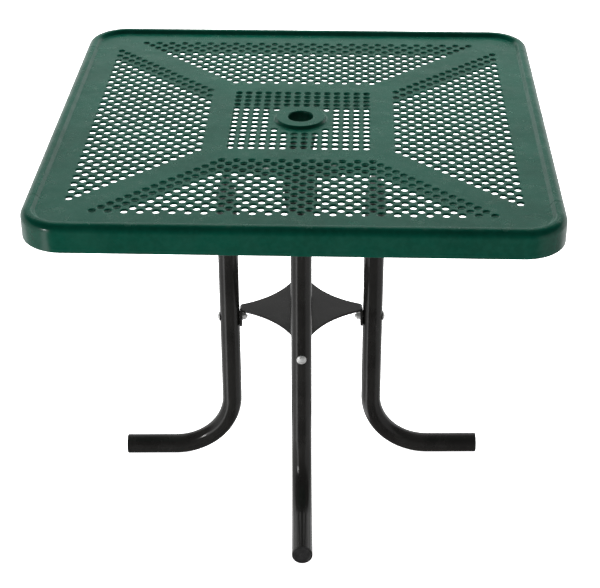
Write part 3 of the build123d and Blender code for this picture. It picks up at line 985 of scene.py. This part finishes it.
# ---------------------------------------------------------------- build the table
def build_table():
    green = (green_coating(), "green_coating")
    black = (black_powder_coat(), "black_powder_coat")
    zinc = (zinc_steel(), "zinc_steel")
    plastic = (black_plastic(), "black_plastic")

    make_piece("perforated_top", perforated_top(), *green, "top_sheet")
    make_piece("collar_ring", umbrella_collar(), *green, "umbrella_collar")
    corners, side = rim_piece(True), rim_piece(False)
    make_piece("rim_roll_front", corners, *green, "rim_front")
    make_piece("rim_roll_back", turned(corners, 180), *green, "rim_back")
    make_piece("rim_roll_left", side, *green, "rim_left")
    make_piece("rim_roll_right", turned(side, 180), *green, "rim_right")
    per_side = {
        "ring_bar": ("ring_channel", ring_channel(), green),
        "leg_tube": ("leg", leg_tube(), black),
        "foot_plug": ("foot_cap", foot_cap(), plastic),
        "mount_plate": ("leg_plate", leg_plate(), black),
    }
    for name, (node, shape, finish) in per_side.items():
        turn = 0.0 if name == "ring_bar" else LEG_TURN
        for where, degrees in SIDES.items():
            make_piece(f"{name}_{where}", turned(shape, degrees + turn), *finish, f"{node}_{where}")
    weld = leg_weld()
    for where, degrees in SIDES.items():
        make_piece(f"leg_weld_{where}", turned(weld, degrees + LEG_TURN), *black)
    bar = diagonal_channel()
    for where, degrees in DIAGONALS.items():
        make_piece(f"diagonal_bar_{where}", turned(bar, degrees), *green, f"diagonal_channel_{where}")
    make_piece("brace_star", turned(brace_plate(), LEG_TURN), *black, "brace_plate")
    for groups in (brace_fasteners(), mount_fasteners()):
        for node, shape in groups.items():
            make_piece(f"{node[:-1]}_set", four_legs(shape), *zinc, node)


# ---------------------------------------------------------------- studio
def add_floor():
    """White floor that only the camera sees: it neither lights nor shades the table."""
    size = 14.0
    mesh = bpy.data.meshes.new("studio_floor")
    corners = [(-size, -size, 0), (size, -size, 0), (size, size, 0), (-size, size, 0)]
    mesh.from_pydata(corners, [], [(0, 1, 2, 3)])
    mesh.materials.append(floor_paint())
    floor = bpy.data.objects.new("studio_floor", mesh)
    bpy.context.scene.collection.objects.link(floor)
    floor.visible_glossy = False
    floor.visible_diffuse = False
    floor.visible_shadow = False


def add_softbox(name, place, target, size, power, seen=False):
    """A soft light; unless it is seen, it leaves no reflection of itself."""
    light = bpy.data.lights.new(name, "AREA")
    light.shape = "RECTANGLE"
    light.size, light.size_y = size
    light.energy = power
    lamp = bpy.data.objects.new(name, light)
    lamp.location = place
    aim = Vector(target) - Vector(place)
    lamp.rotation_euler = aim.to_track_quat("-Z", "Y").to_euler()
    lamp.visible_glossy = seen
    lamp.visible_camera = False
    bpy.context.scene.collection.objects.link(lamp)
    return lamp


def add_world():
    """Soft surroundings: a bright back, bright low sides, and dark in front and overhead."""
    world = bpy.data.worlds.new("studio")
    bpy.context.scene.world = world
    world.use_nodes = True
    tree = world.node_tree
    background = tree.nodes["Background"]
    coordinates = tree.nodes.new("ShaderNodeTexCoord")
    split = tree.nodes.new("ShaderNodeSeparateXYZ")
    tree.links.new(coordinates.outputs["Generated"], split.inputs["Vector"])

    def ramp(axis, low, high, to_low, to_high):
        node = tree.nodes.new("ShaderNodeMapRange")
        node.interpolation_type = "SMOOTHSTEP"
        for socket, number in zip(("From Min", "From Max"), (low, high)):
            node.inputs[socket].default_value = number
        for socket, value in zip(("To Min", "To Max"), (to_low, to_high)):
            if isinstance(value, float):
                node.inputs[socket].default_value = value
            else:
                tree.links.new(value, node.inputs[socket])
        tree.links.new(split.outputs[axis], node.inputs["Value"])
        return node.outputs["Result"]

    # Each line spreads one brightness into the next along one axis of the view direction.
    above = ramp("Y", 0.50, 0.80, 0.03, 0.42)
    left = ramp("X", -0.80, -0.70, 0.45, 1.6)
    front = ramp("X", -0.62, -0.54, left, 0.03)
    below = ramp("X", 0.50, 0.75, front, 0.35)
    low = ramp("Y", 0.25, 0.60, below, 0.85)
    strength = ramp("Z", 0.10, 0.42, low, above)
    tree.links.new(strength, background.inputs["Strength"])
    background.inputs["Color"].default_value = (1.0, 1.0, 1.0, 1.0)


def add_camera():
    """The photograph's viewpoint, in metres and radians."""
    place = Vector((0.0978, -2.6849, 1.9608))
    yaw, pitch, roll = -0.0373, 0.5302, -0.0037
    camera = bpy.data.cameras.new("camera")
    camera.sensor_width = 36.0
    camera.lens = 93.22
    camera.clip_end = 100.0
    eye = bpy.data.objects.new("camera", camera)
    eye.matrix_world = (
        Matrix.Translation(place)
        @ Matrix.Rotation(-yaw, 4, "Z")
        @ Matrix.Rotation(math.pi / 2 - pitch, 4, "X")
        @ Matrix.Rotation(roll, 4, "Z")
    )
    bpy.context.scene.collection.objects.link(eye)
    bpy.context.scene.camera = eye


def add_studio():
    """Panels behind and below light the table softly; one small lamp leaves highlights."""
    add_floor()
    add_world()
    middle = (0.0, 0.0, 0.8)
    add_softbox("back_panel", (0.0, 2.6, 2.9), middle, (6.0, 3.0), 400)
    add_softbox("front_panel", (0.0, -3.0, -0.6), middle, (6.0, 2.2), 95)
    add_softbox("left_panel", (-3.0, -0.5, -0.6), middle, (4.0, 2.2), 75)
    add_softbox("right_panel", (3.0, -0.5, -0.6), middle, (4.0, 2.2), 30)
    add_softbox("spark_light", (-2.6, -2.6, 1.3), middle, (0.30, 0.30), 14, seen=True)
    add_camera()
    bpy.context.scene.view_settings.view_transform = "Standard"


build_table()
add_studio()
